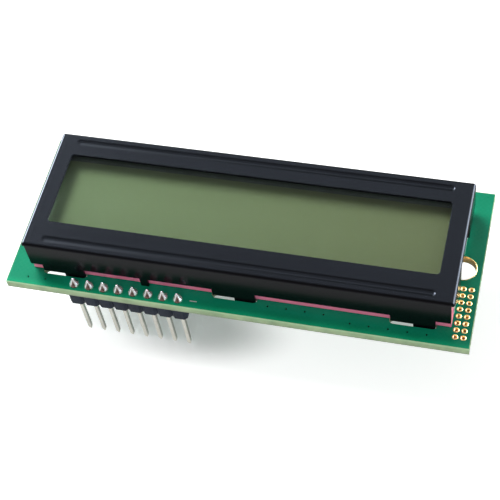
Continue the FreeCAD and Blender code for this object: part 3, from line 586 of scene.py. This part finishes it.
# Pin header: a strip moulded in black plastic, notched between its pins, and eight square pins of
# tinned brass pressed through it. The pins' tips are tapered.
PLASTIC_DARK = (0.008, 0.014, 0.028)
PLASTIC_LIGHT = (0.014, 0.023, 0.043)
BRASS_DARK = (0.91, 0.88, 0.79)
BRASS_LIGHT = (0.97, 0.94, 0.86)
plastic_finish = new_finish("header_plastic", PLASTIC_DARK, PLASTIC_LIGHT, (0.42, 0.6), 1.2, 0.06, 0.01,
                            {"Specular IOR Level": 0.25})
housing = whole_copy("header_housing", "header_housing_moulded")
bevel(housing, 0.06, 2, 40)
housing.data.materials.append(plastic_finish)
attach(housing, "root")
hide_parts("header_housing")
pin_finish = new_finish("tinned_brass", BRASS_DARK, BRASS_LIGHT, (0.18, 0.28), 1.5, 0.09, 0.004,
                        {"Metallic": 1.0})
for number in range(1, PIN_COUNT + 1):
    pin = whole_copy(f"header_pin_{number}", f"square_pin_{number}")
    bevel(pin, 0.04, 2, 10)
    pin.data.materials.append(pin_finish)
    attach(pin, "root")
    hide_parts(f"header_pin_{number}")

# Solder on the header: a bright drop drawn up round each pin, full and round at the foot and pointed at
# the top, with a painted dark reflection as a brown streak on its front. Hand soldered, so each leans a
# little differently.
SOLDER_OUTLINE = [(0.78, 0.0), (0.83, 0.12), (0.82, 0.25), (0.77, 0.40), (0.69, 0.55), (0.60, 0.70),
                  (0.51, 0.86), (0.43, 1.02), (0.36, 1.20), (0.29, 1.38), (0.22, 1.55), (0.15, 1.70),
                  (0.08, 1.82), (0, 1.86)]
STREAK_FOOT = 0.12
STREAK_HEIGHT = 1.35
STREAK_SHARE = 0.19
SOLDER_DARK = (0.90, 0.89, 0.88)
SOLDER_LIGHT = (0.97, 0.96, 0.95)
PAINTED_REFLECTION_BROWN = (0.21, 0.14, 0.115)
HEADER_Y = -13.7
DROPS = [(1.00, 0.02, 1.00), (0.95, -0.05, 0.97), (0.98, 0.05, 1.03), (1.00, -0.02, 1.02),
         (0.97, 0.06, 1.00), (0.93, -0.03, 0.98), (0.99, 0.03, 1.03), (0.96, -0.06, 0.98)]
solder_finish = new_finish("bright_solder", SOLDER_DARK, SOLDER_LIGHT, (0.16, 0.28), 0.7, 0.3, 0.02,
                           {"Metallic": 0.8, "Specular IOR Level": 0.8})
solder_tree = solder_finish.node_tree
solder_axes = object_axes(solder_tree)
# Painted reflection: a brown streak down the front of each drop, narrowing upwards.
from_first = sums(solder_tree, "SUBTRACT", solder_axes["X"], (HEADER_FIRST_X + 0.08) * MM)
pin_number = sums(solder_tree, "DIVIDE", from_first, PIN_PITCH * MM)
pin_share = sums(solder_tree, "FRACT", sums(solder_tree, "ADD", pin_number, 0.5))
aside = sums(solder_tree, "ABSOLUTE", sums(solder_tree, "SUBTRACT", pin_share, 0.5))
lift = sums(solder_tree, "SUBTRACT", solder_axes["Z"], (BOARD_TOP + STREAK_FOOT) * MM)
lift_share = sums(solder_tree, "DIVIDE", lift, STREAK_HEIGHT * MM)
streak_width = sums(solder_tree, "MULTIPLY", sums(solder_tree, "SUBTRACT", 1.0, lift_share), STREAK_SHARE)
in_streak = add_node(solder_tree, "ShaderNodeMapRange", {
    "Value": sums(solder_tree, "SUBTRACT", streak_width, aside), "From Min": -0.015, "From Max": 0.02})
on_front = sums(solder_tree, "LESS_THAN", solder_axes["Y"], (HEADER_Y - 0.06) * MM)
above_foot = sums(solder_tree, "GREATER_THAN", lift_share, 0.0)
in_front = sums(solder_tree, "MULTIPLY", in_streak.outputs["Result"], on_front)
painted_reflection_mask = sums(solder_tree, "MULTIPLY", in_front, above_foot)
lay_over(solder_finish, painted_reflection_mask, PAINTED_REFLECTION_BROWN)
drops = []
for number, (tall, lean, wide) in enumerate(DROPS):
    x = HEADER_FIRST_X + PIN_PITCH * number
    profile = [(0, BOARD_TOP - SEAT)] + [(radius * wide, BOARD_TOP + height * tall)
                                         for radius, height in SOLDER_OUTLINE]
    drop = turned("solder_drop", profile, x, HEADER_Y, 40)
    for vertex in drop.data.vertices:
        share = max(vertex.co.z / MM - BOARD_TOP, 0) / SOLDER_OUTLINE[-1][1]
        vertex.co.x += lean * share ** 2 * MM
    drops.append(drop)
solder = joined(drops, "solder_drops")
smooth(solder, 70)
solder.data.materials.append(solder_finish)
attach(solder, "root")
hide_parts("header_solder_joints")

# Backlight: a white acrylic box with a diffuser film let into its top, fed by two flat leads that
# pass through the board and are soldered below.
ACRYLIC_DARK = (0.72, 0.80, 0.78)
ACRYLIC_LIGHT = (0.80, 0.87, 0.85)
FILM_DARK = (0.74, 0.76, 0.74)
FILM_LIGHT = (0.82, 0.84, 0.82)
LEADS = [(-28.4, -0.45), (29.1, -0.45)]
JOINT_RADIUS = 0.86
JOINT_TIP_RADIUS = 0.1
JOINT_HEIGHT = 0.75
JOINT_RINGS = 12
acrylic_finish = new_finish("white_acrylic", ACRYLIC_DARK, ACRYLIC_LIGHT, (0.3, 0.45), 6, 0.3, 0.004,
                            {"Subsurface Weight": 0.3, "Subsurface Scale": 0.001})
dress("backlight_box", acrylic_finish)
dress("diffuser_film", new_finish("diffuser_film", FILM_DARK, FILM_LIGHT, (0.6, 0.75), 4, 0.1, 0.004))
dress("backlight_leads", pin_finish)
lead_joints = []
for x, y in LEADS:
    cone = [((JOINT_RADIUS - JOINT_TIP_RADIUS) * (1 - step / JOINT_RINGS) ** 0.5 + JOINT_TIP_RADIUS,
             BOARD_UNDER + SEAT - JOINT_HEIGHT * step / JOINT_RINGS) for step in range(JOINT_RINGS + 1)]
    tip = (0, BOARD_UNDER + SEAT - JOINT_HEIGHT)
    lead_joints.append(turned("lead_joint", [(0, BOARD_UNDER + SEAT)] + cone + [tip], x, y, 32))
lead_solder = joined(lead_joints, "lead_solder")
smooth(lead_solder, 70)
lead_solder.data.materials.append(solder_finish)
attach(lead_solder, "root")
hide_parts("backlight_solder_joints")

# Connector strips: soft pink silicone bars that join the board's contacts to the front glass. They
# are held by being squeezed between the two, and their edges are round.
SILICONE_DARK = (1.0, 0.23, 0.38)
SILICONE_LIGHT = (1.0, 0.29, 0.46)
rubber_finish = new_finish("pink_silicone", SILICONE_DARK, SILICONE_LIGHT, (0.45, 0.6), 2.5, 0.15, 0.01,
                           {"Subsurface Weight": 0.15, "Subsurface Scale": 0.0006})
for side in ("front", "back"):
    strip = whole_copy(f"connector_strip_{side}", f"silicone_strip_{side}")
    bevel(strip, 0.12, 3, 40)
    strip.data.materials.append(rubber_finish)
    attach(strip, "root")
    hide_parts(f"connector_strip_{side}")

# Display cell: an olive reflector, two sheets of clear glass with the liquid crystal between them,
# and a clear front polarizer. The clear layers let the light and the bezel's shadow through.
REFLECTOR_REACH = 32
REFLECTOR_LEFT = (0.158, 0.216, 0.118)
REFLECTOR_RIGHT = (0.134, 0.158, 0.080)
POLARIZER_TINT = (0.94, 0.96, 0.93)
GLASS_TINT = (0.98, 0.99, 0.98)
reflector_finish = new_finish("olive_reflector", REFLECTOR_LEFT, REFLECTOR_LEFT, (0.5, 0.62), 14, 0.09, 0.003,
                              {"Specular IOR Level": 0.3})
reflector_tree = reflector_finish.node_tree
across_cell = add_node(reflector_tree, "ShaderNodeMapRange", {
    "Value": object_axes(reflector_tree)["X"], "From Min": -REFLECTOR_REACH * MM,
    "From Max": REFLECTOR_REACH * MM})
lay_over(reflector_finish, across_cell.outputs["Result"], REFLECTOR_RIGHT)
dress("rear_polarizer", reflector_finish)


CLEAR_PATCH = 8
CLEAR_GRAIN = 0.2


def clear_finish(name, tint, ior, rough):
    """A clear layer: it lets light through with a tint, and its surface reflects a little."""
    material = bpy.data.materials.new(name)
    material.use_nodes = True
    tree = material.node_tree
    tree.nodes.remove(tree.nodes["Principled BSDF"])
    through = add_node(tree, "ShaderNodeBsdfTransparent", {"Color": (*tint, 1)})
    marks = add_node(tree, "ShaderNodeGroup", node_tree=surface_grain)
    marks.inputs["Patch Scale"].default_value = 1 / (CLEAR_PATCH * MM)
    marks.inputs["Grain Scale"].default_value = 1 / (CLEAR_GRAIN * MM)
    gloss = add_node(tree, "ShaderNodeMapRange", {
        "Value": marks.outputs["Patch"], "To Min": rough[0], "To Max": rough[1]})
    shine = add_node(tree, "ShaderNodeBsdfGlossy", {"Roughness": gloss.outputs["Result"]})
    share = add_node(tree, "ShaderNodeFresnel", {"IOR": ior})
    mixed = add_node(tree, "ShaderNodeMixShader", {
        0: share.outputs[0], 1: through.outputs[0], 2: shine.outputs[0]})
    tree.links.new(mixed.outputs[0], tree.nodes["Material Output"].inputs["Surface"])
    return material


dress("front_polarizer", clear_finish("front_polarizer", POLARIZER_TINT, 1.14, (0.25, 0.32)))
dress("front_glass", clear_finish("front_glass", GLASS_TINT, 1.08, (0.02, 0.05)))
dress("rear_glass", clear_finish("rear_glass", GLASS_TINT, 1.08, (0.02, 0.05)))
for node in ("front_polarizer", "front_glass", "rear_glass"):
    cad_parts[node].visible_shadow = False
    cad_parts[node].visible_diffuse = False

# Seal of the display cell: a thin dark frame of cured epoxy between the two glasses, which it joins
# along their edges.
SEAL_WIDTH = 1.3
SEAL_THICKNESS = 0.008
SEAL_INSET = 0.05
SEAL_DARK = (0.052, 0.070, 0.060)
SEAL_LIGHT = (0.070, 0.092, 0.080)
seal_low, seal_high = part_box("rear_glass")
bpy.ops.object.select_all(action="DESELECT")
bpy.ops.mesh.primitive_plane_add(size=1)
seal = bpy.context.object
seal.name = seal.data.name = "cell_seal"
seal.scale = seal_high - seal_low - Vector((2, 2, 0)) * SEAL_INSET * MM
seal.location = (seal_low + seal_high) / 2
seal.location.z = seal_high.z - SEAL_THICKNESS / 2 * MM
bpy.ops.object.transform_apply(location=True, rotation=True, scale=True)
bpy.ops.object.mode_set(mode="EDIT")
bpy.ops.mesh.select_all(action="SELECT")
bpy.ops.mesh.inset(thickness=SEAL_WIDTH * MM)
bpy.ops.mesh.delete(type="ONLY_FACE")
bpy.ops.mesh.select_all(action="SELECT")
bpy.ops.mesh.extrude_region_move(TRANSFORM_OT_translate={"value": (0, 0, SEAL_THICKNESS * MM)})
bpy.ops.mesh.select_all(action="SELECT")
bpy.ops.mesh.normals_make_consistent(inside=False)
bpy.ops.object.mode_set(mode="OBJECT")
# Painted shade: besides being the epoxy seal, its width and greenish dark tone match the shaded reflector
# beside the window's edge.
seal.data.materials.append(new_finish("cell_epoxy_and_painted_shade", SEAL_DARK, SEAL_LIGHT, (0.5, 0.65), 3, 0.1, 0.002))
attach(seal, "root")

# Bezel: one sheet of black painted steel, folded into a shallow lid with a window, pressed beads and
# tabs that are twisted under the board. Its cut edges are slightly rounded by the paint, and dull
# round the window.
WINDOW_X = (-31.82, 32.38)
WINDOW_Y = (-6.935, 6.815)
RIM_REACH = 0.15
PAINT_DARK = (0.0022, 0.0026, 0.0034)
PAINT_LIGHT = (0.0034, 0.0040, 0.0052)
paint_finish = new_finish("black_paint", PAINT_DARK, PAINT_LIGHT, (0.17, 0.25), 12, 0.12, 0.004,
                          {"Specular IOR Level": 0.175, "Specular Tint": (0.91, 0.89, 1, 1)})
rim_finish = new_finish("painted_cut_edge", PAINT_DARK, PAINT_LIGHT, (0.7, 0.85), 2, 0.1, 0.004,
                        {"Specular IOR Level": 0.1})
bezel = whole_copy("bezel", "bezel_painted")
bevel(bezel, 0.035, 2, 40)
flat_kept(bezel, 12, 8)
bezel.data.materials.append(paint_finish)
bezel.data.materials.append(rim_finish)
for face in bezel.data.polygons:
    corners = [bezel.data.vertices[number].co / MM for number in face.vertices]
    inside_x = all(WINDOW_X[0] - RIM_REACH < corner.x < WINDOW_X[1] + RIM_REACH for corner in corners)
    inside_y = all(WINDOW_Y[0] - RIM_REACH < corner.y < WINDOW_Y[1] + RIM_REACH for corner in corners)
    if inside_x and inside_y:
        face.material_index = 1
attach(bezel, "root")
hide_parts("bezel")

# Setting: a white floor under the pins, a white surround, a broad soft lamp overhead from the
# back left, a weaker one in front, and the camera. The floor is lifted towards white where the camera
# sees it, with painted shade round the header and under the board. In reflections the floor is painted
# darker, with a painted bright strip that shows in the pins, and the surround has painted bright and dark
# areas.
FLOOR_SIZE = 3
HEADER_SQUEEZE = 0.42
HEADER_SHIFT = 0.004
HEADER_MIDDLE = (0, -0.0105, 0)
PAINTED_PIN_STRIP_Y = -0.017
HEADER_SHADE = {"From Min": 0.0022, "From Max": 0.0085, "To Min": 0.18, "To Max": 0.7}
PAINTED_PIN_STRIP = {"From Min": 0.0025, "From Max": 0.0042, "To Min": 0.38, "To Max": 0.06}
UNDER_BOARD = (("X", 0.0035, 0.037, 0.038), ("Y", 0.0026, 0.0028, 0.004))
UNDER_BOARD_SHADE = 0.6
FLOOR_GREY = 0.8
PAINTED_REFLECTION_DROP = 0.27
bpy.ops.object.select_all(action="DESELECT")
bpy.ops.mesh.primitive_plane_add(size=FLOOR_SIZE, location=(0, 0, 0))
floor = bpy.context.object
floor.name = "floor"
floor_finish = bpy.data.materials.new("white_floor")
floor_finish.use_nodes = True
floor_tree = floor_finish.node_tree
floor_tree.nodes.remove(floor_tree.nodes["Principled BSDF"])
paths = add_node(floor_tree, "ShaderNodeLightPath").outputs
floor_axes = object_axes(floor_tree)
aside_header = sums(floor_tree, "MULTIPLY_ADD", floor_axes["X"], HEADER_SQUEEZE, HEADER_SHIFT)
from_header = add_node(floor_tree, "ShaderNodeVectorMath", {
    0: add_node(floor_tree, "ShaderNodeCombineXYZ", {"X": aside_header, "Y": floor_axes["Y"]}).outputs[0],
    1: HEADER_MIDDLE}, operation="DISTANCE").outputs["Value"]
# Painted shade: the floor is lifted less round the header and under the board.
header_shade_lift = add_node(floor_tree, "ShaderNodeMapRange", {"Value": from_header, **HEADER_SHADE},
                    interpolation_type="SMOOTHSTEP").outputs["Result"]
from_pins = sums(floor_tree, "ABSOLUTE", sums(floor_tree, "SUBTRACT", floor_axes["Y"], PAINTED_PIN_STRIP_Y))
# Painted reflection: a bright strip of floor, seen only in reflections, shows in the pins.
painted_pin_reflection = add_node(floor_tree, "ShaderNodeMapRange", {"Value": from_pins, **PAINTED_PIN_STRIP},
                interpolation_type="SMOOTHSTEP").outputs["Result"]
under_board = sums(floor_tree, "MULTIPLY", *[add_node(floor_tree, "ShaderNodeMapRange", {
    "Value": sums(floor_tree, "ABSOLUTE", sums(floor_tree, "ADD", floor_axes[axis], shift)),
    "From Min": near, "From Max": far, "To Min": 1.0, "To Max": 0.0}).outputs["Result"]
    for axis, shift, near, far in UNDER_BOARD])
unshaded = sums(floor_tree, "MULTIPLY_ADD", under_board, -UNDER_BOARD_SHADE, 1.0)
seen = sums(floor_tree, "MULTIPLY", header_shade_lift, unshaded)
lifted = sums(floor_tree, "ADD", sums(floor_tree, "MULTIPLY", paths["Is Camera Ray"], seen),
              sums(floor_tree, "MULTIPLY", paths["Is Glossy Ray"], painted_pin_reflection))
# Painted reflection: the floor is darker in reflections.
matt = add_node(floor_tree, "ShaderNodeBsdfDiffuse", {
    "Color": sums(floor_tree, "MULTIPLY_ADD", paths["Is Glossy Ray"], -PAINTED_REFLECTION_DROP, FLOOR_GREY)})
glow = add_node(floor_tree, "ShaderNodeEmission", {
    "Color": (1, 1, 1, 1), "Strength": lifted})
both = add_node(floor_tree, "ShaderNodeAddShader", {0: matt.outputs[0], 1: glow.outputs[0]})
from_below = add_node(floor_tree, "ShaderNodeMixShader", {
    0: floor_tree.nodes.new("ShaderNodeNewGeometry").outputs["Backfacing"], 1: both.outputs[0],
    2: floor_tree.nodes.new("ShaderNodeBsdfTransparent").outputs[0]})
floor_tree.links.new(from_below.outputs[0], floor_tree.nodes["Material Output"].inputs["Surface"])
floor.data.materials.append(floor_finish)

world = bpy.data.worlds.new("surround")
bpy.context.scene.world = world
world.use_nodes = True
sky = world.node_tree
toward = sky.nodes.new("ShaderNodeTexCoord").outputs["Generated"]
# Painted reflections: seen in reflections only, the surround has bright areas to the left and right, a darker
# band low at the back and a dark brown area in front; the lamps don't show in reflections.
LIGHT_AREAS = [((-0.82, 0.50, 0.26), 0.73, 1.0, 10.0), ((-0.77, 0.40, 0.50), 0.94, 0.99, 50.0),
               ((0.15, 0.98, 0.14), 0.58, 0.66, 1.0), ((0.0, 1.0, 0.10), 0.74, 0.92, -1.9),
               ((0.82, 0.45, 0.30), 0.75, 0.95, 24.0)]
DARK_AREA = ((0.2, -0.75, 0.62), 0.45, 0.85, 1.0)
MIRRORED_COOL = (0.77, 0.89, 1)
MIRRORED_DARK = (0.14, 0.10, 0.08)


def lobe(tree, direction, low, high, strength):
    """How strongly a way through the surround lies near a direction, times a strength."""
    near = add_node(tree, "ShaderNodeVectorMath", {0: toward, 1: Vector(direction).normalized()},
                    operation="DOT_PRODUCT").outputs["Value"]
    return add_node(tree, "ShaderNodeMapRange", {
        "Value": near, "From Min": low, "From Max": high, "To Max": strength},
        interpolation_type="SMOOTHSTEP").outputs["Result"]


glossy_level = 1.3
for area in LIGHT_AREAS:
    glossy_level = sums(sky, "ADD", lobe(sky, *area), glossy_level)
front_dark = lobe(sky, *DARK_AREA)
mirrored = add_node(sky, "ShaderNodeMix", {
    "Factor": front_dark, 6: (*MIRRORED_COOL, 1), 7: (*MIRRORED_DARK, 1)}, data_type="RGBA").outputs[2]
sky_paths = add_node(sky, "ShaderNodeLightPath").outputs
sky_colour = add_node(sky, "ShaderNodeMix", {
    "Factor": sky_paths["Is Glossy Ray"], 6: (1, 1, 1, 1), 7: mirrored}, data_type="RGBA").outputs[2]
soft_level = sums(sky, "MULTIPLY_ADD", sky_paths["Is Camera Ray"], 0.6, 0.4)
level = add_node(sky, "ShaderNodeMix", {
    "Factor": sky_paths["Is Glossy Ray"], 2: soft_level, 3: glossy_level}).outputs[0]
background = sky.nodes["Background"]
sky.links.new(sky_colour, background.inputs["Color"])
sky.links.new(level, background.inputs["Strength"])

LAMPS = {"overhead_lamp": ((-0.32, 0.275, 0.62), 0.42, 5.5), "front_lamp": ((0.15, -0.75, 0.28), 0.6, 1.3)}
for name, (place, size, power) in LAMPS.items():
    lamp_data = bpy.data.lights.new(name, "AREA")
    lamp_data.shape = "DISK"
    lamp_data.size = size
    lamp_data.energy = power
    lamp = bpy.data.objects.new(name, lamp_data)
    bpy.context.scene.collection.objects.link(lamp)
    lamp.location = place
    lamp.rotation_mode = "QUATERNION"
    lamp.rotation_quaternion = Vector(place).to_track_quat("Z", "Y")
    lamp.visible_glossy = False

VIEW_TURN = math.radians(22.25)
VIEW_RISE = math.radians(55.45)
VIEW_ROLL = math.radians(-10.79)
VIEW_DISTANCE = 225.63
VIEW_SHIFT = (0.06, 2.06)
FOCAL_PIXELS = 1364.77
PHOTO_PIXELS = 500
back = Vector((math.sin(VIEW_TURN) * math.cos(VIEW_RISE), -math.cos(VIEW_TURN) * math.cos(VIEW_RISE),
               math.sin(VIEW_RISE)))
level_right = Vector((math.cos(VIEW_TURN), math.sin(VIEW_TURN), 0))
level_up = back.cross(level_right)
right = math.cos(VIEW_ROLL) * level_right + math.sin(VIEW_ROLL) * level_up
up = math.cos(VIEW_ROLL) * level_up - math.sin(VIEW_ROLL) * level_right
camera_data = bpy.data.cameras.new("camera")
camera_data.lens = camera_data.sensor_width * FOCAL_PIXELS / PHOTO_PIXELS
camera_data.clip_start = 0.01
camera = bpy.data.objects.new("camera", camera_data)
bpy.context.scene.collection.objects.link(camera)
camera.location = (back * VIEW_DISTANCE - right * VIEW_SHIFT[0] - up * VIEW_SHIFT[1]
                   + Vector((0, 0, BOARD_TOP))) * MM
camera.rotation_mode = "QUATERNION"
camera.rotation_quaternion = Matrix((right, up, back)).transposed().to_quaternion()
bpy.context.scene.camera = camera
bpy.context.scene.view_settings.view_transform = "Standard"
